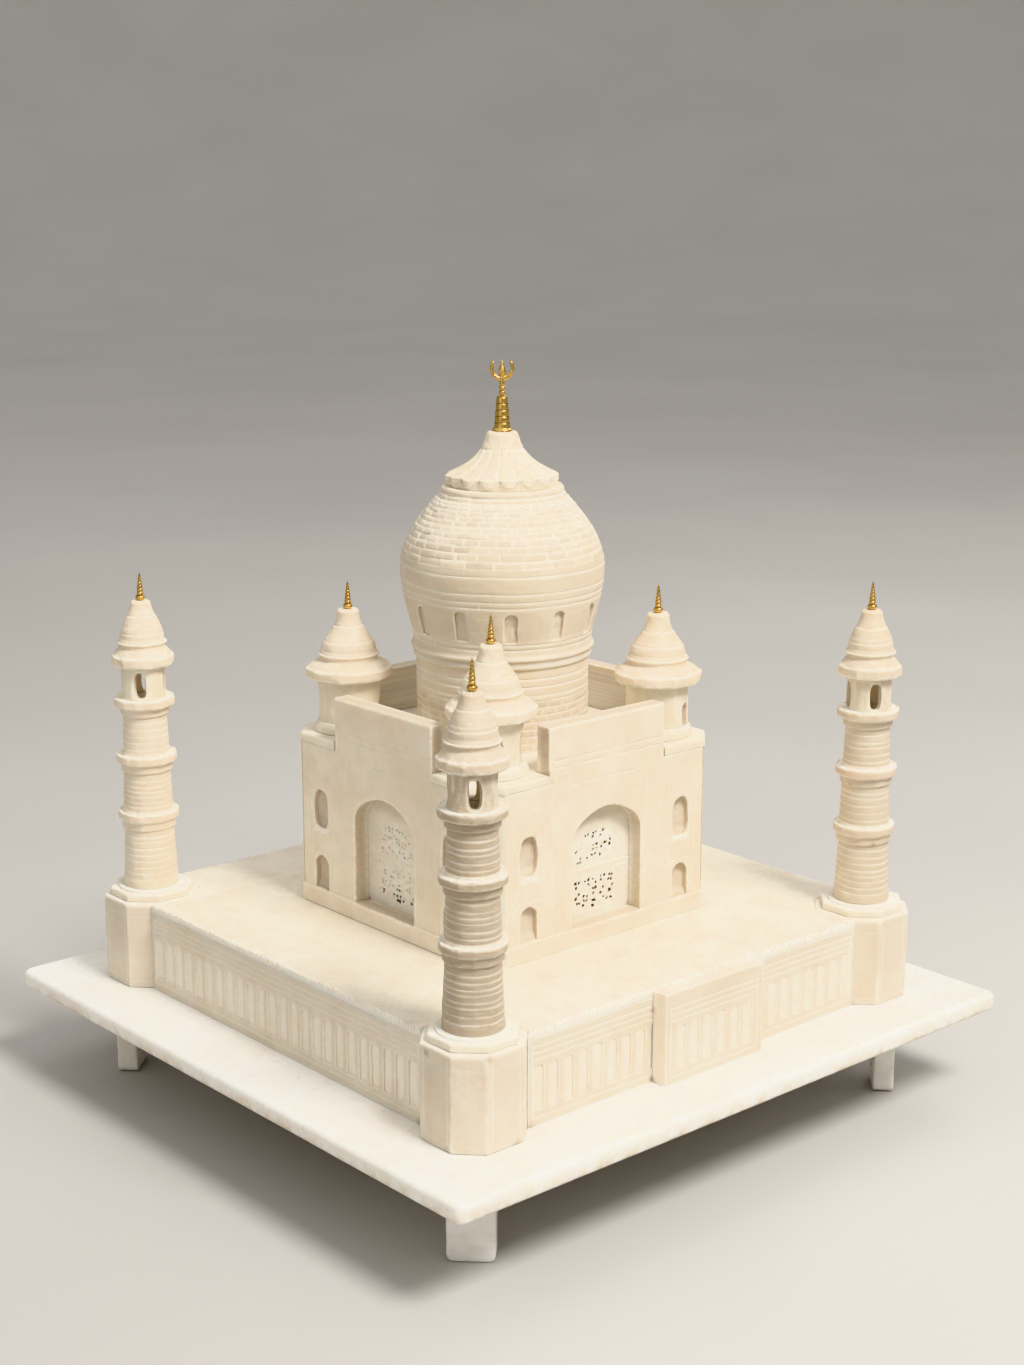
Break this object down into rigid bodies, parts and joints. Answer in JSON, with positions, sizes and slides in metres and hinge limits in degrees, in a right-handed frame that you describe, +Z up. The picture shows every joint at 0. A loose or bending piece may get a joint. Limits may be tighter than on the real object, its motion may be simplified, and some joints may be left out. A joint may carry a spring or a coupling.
{
  "type": "miniature landmark model",
  "caption": "Pale stone miniature of a domed square tomb with raised portals, roof kiosks and corner minarets on a panelled plinth, with brass finials and a footed slab.",
  "frame": {"origin": "middle of the area that the four feet stand on, at the height of their undersides", "axes": "+Z up, -Y towards the front, where the stair block stands against the plinth"},
  "size_m": [0.305, 0.305, 0.3157],
  "materials": {
    "slab_marble": "polished marble, faintly mottled, edges rounded by hand",
    "carved_stone": "satin translucent alabaster with fine saw and chisel marks",
    "pierced_stone": "satin alabaster, pierced and engraved",
    "turned_stone": "satin turned alabaster with engraved rings",
    "brass": "polished turned brass"
  },
  "bodies": {
    "base": {"base_slab": "slab_marble", "foot_front_left": "slab_marble", "foot_front_right": "slab_marble", "foot_back_right": "slab_marble", "foot_back_left": "slab_marble", "plinth_wall_front": "carved_stone", "plinth_wall_right": "carved_stone", "plinth_wall_back": "carved_stone", "plinth_wall_left": "carved_stone", "plinth_deck": "carved_stone", "bastion_front_left": "carved_stone", "bastion_front_right": "carved_stone", "bastion_back_right": "carved_stone", "bastion_back_left": "carved_stone", "stair_block": "carved_stone", "facade_front": "carved_stone", "facade_right": "carved_stone", "facade_back": "carved_stone", "facade_left": "carved_stone", "corner_wall_front_left": "carved_stone", "corner_wall_front_right": "carved_stone", "corner_wall_back_right": "carved_stone", "corner_wall_back_left": "carved_stone", "jali_screen_front": "pierced_stone", "jali_screen_right": "pierced_stone", "jali_screen_back": "pierced_stone", "jali_screen_left": "pierced_stone", "roof_plate": "carved_stone", "kiosk_front_left": "turned_stone", "kiosk_front_right": "turned_stone", "kiosk_back_right": "turned_stone", "kiosk_back_left": "turned_stone", "kiosk_cap_front_left": "turned_stone", "kiosk_cap_front_right": "turned_stone", "kiosk_cap_back_right": "turned_stone", "kiosk_cap_back_left": "turned_stone", "kiosk_finial_front_left": "brass", "kiosk_finial_front_right": "brass", "kiosk_finial_back_right": "brass", "kiosk_finial_back_left": "brass", "pedestal_front_left": "carved_stone", "pedestal_front_right": "carved_stone", "pedestal_back_right": "carved_stone", "pedestal_back_left": "carved_stone"},
    "dome": {"dome_drum": "turned_stone", "dome_shell": "turned_stone", "lotus_cap": "turned_stone", "dome_finial": "brass"},
    "minaret_front_left": {"minaret_front_left": "turned_stone", "minaret_cap_front_left": "turned_stone", "minaret_finial_front_left": "brass"},
    "minaret_front_right": {"minaret_front_right": "turned_stone", "minaret_cap_front_right": "turned_stone", "minaret_finial_front_right": "brass"},
    "minaret_back_right": {"minaret_back_right": "turned_stone", "minaret_cap_back_right": "turned_stone", "minaret_finial_back_right": "brass"},
    "minaret_back_left": {"minaret_back_left": "turned_stone", "minaret_cap_back_left": "turned_stone", "minaret_finial_back_left": "brass"}
  },
  "joints": [
    {"name": "dome_lift", "type": "slide", "parent": "base", "child": "dome", "axis": [0, 0, 1], "range_m": [0, 0.035]},
    {"name": "minaret_front_left_lift", "type": "slide", "parent": "base", "child": "minaret_front_left", "axis": [0, 0, 1], "range_m": [0, 0.03]},
    {"name": "minaret_front_right_lift", "type": "slide", "parent": "base", "child": "minaret_front_right", "axis": [0, 0, 1], "range_m": [0, 0.03]},
    {"name": "minaret_back_right_lift", "type": "slide", "parent": "base", "child": "minaret_back_right", "axis": [0, 0, 1], "range_m": [0, 0.03]},
    {"name": "minaret_back_left_lift", "type": "slide", "parent": "base", "child": "minaret_back_left", "axis": [0, 0, 1], "range_m": [0, 0.03]}
  ]
}
